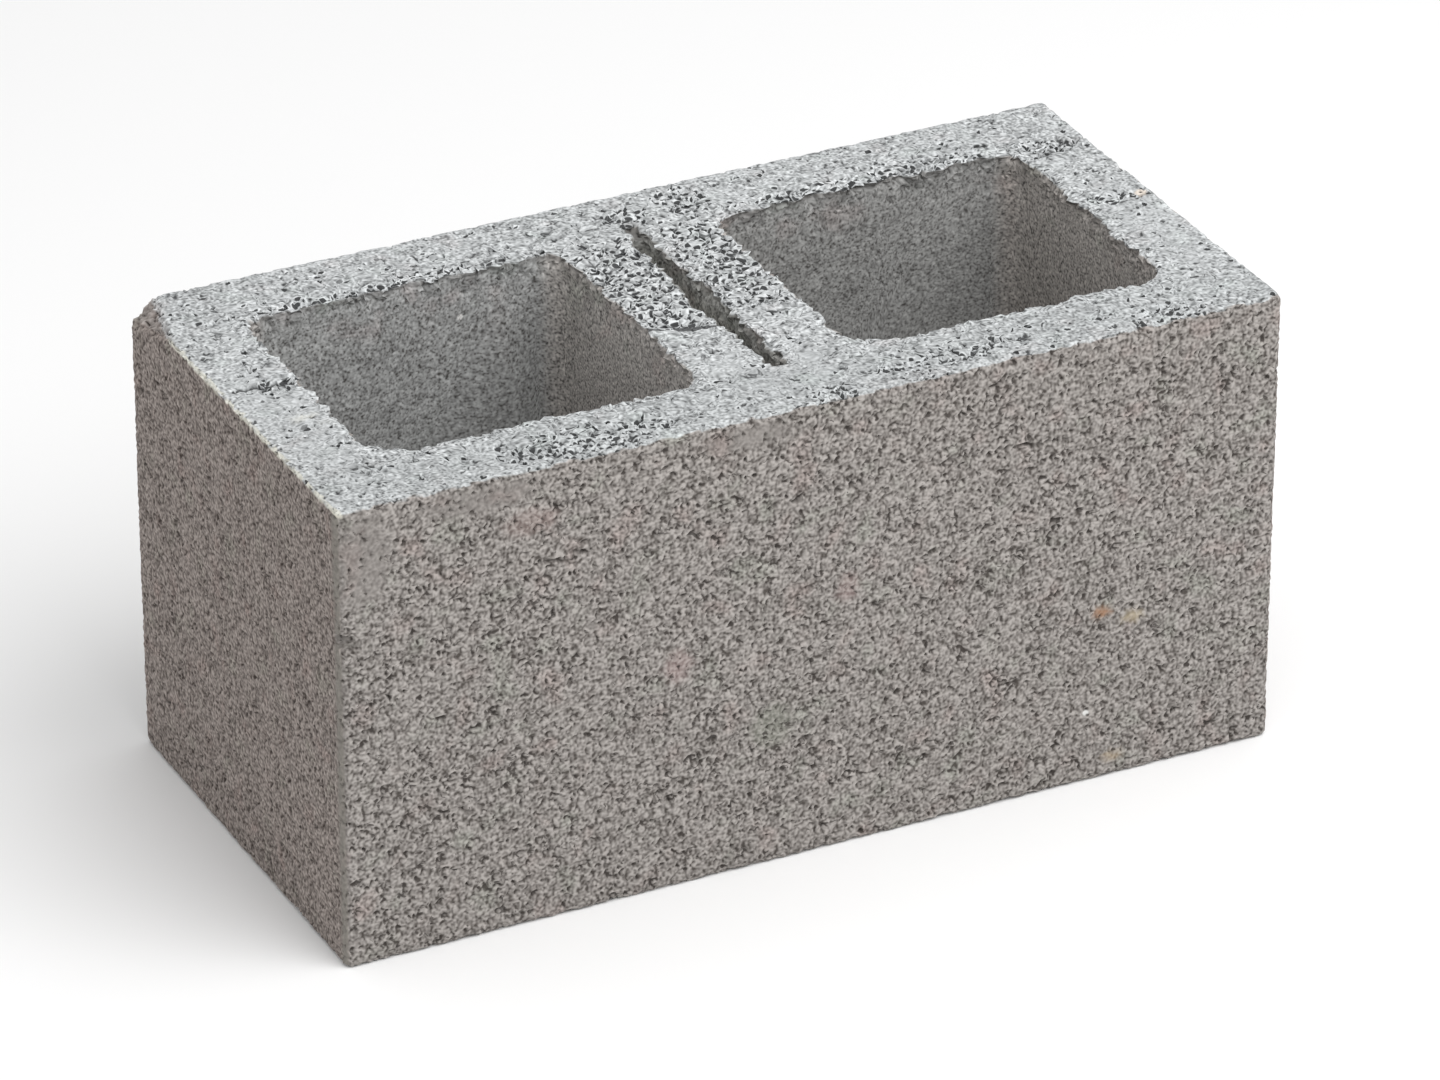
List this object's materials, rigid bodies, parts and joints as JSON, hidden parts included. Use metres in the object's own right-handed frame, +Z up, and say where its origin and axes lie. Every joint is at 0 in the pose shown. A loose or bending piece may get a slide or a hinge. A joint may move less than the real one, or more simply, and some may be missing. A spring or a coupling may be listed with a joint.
{
  "type": "hollow concrete block",
  "caption": "Hollow concrete masonry block with flush ends, rectangular through cores and a narrow splitting slot across its middle web, for laying in mortared walls.",
  "frame": {"origin": "middle of the bottom bed face, midway between the ends and between the face shells", "axes": "+X along the length, +Y from the front face to the back face, +Z up from the bottom bed to the top bed; the broken corner is at the left end (-X), back (+Y) and top"},
  "size_m": [0.397, 0.194, 0.194],
  "materials": {
    "concrete": "dry-cast grey concrete, open and gritty, with a paler top bed"
  },
  "bodies": {
    "root": {"concrete_block": "concrete"}
  },
  "joints": []
}
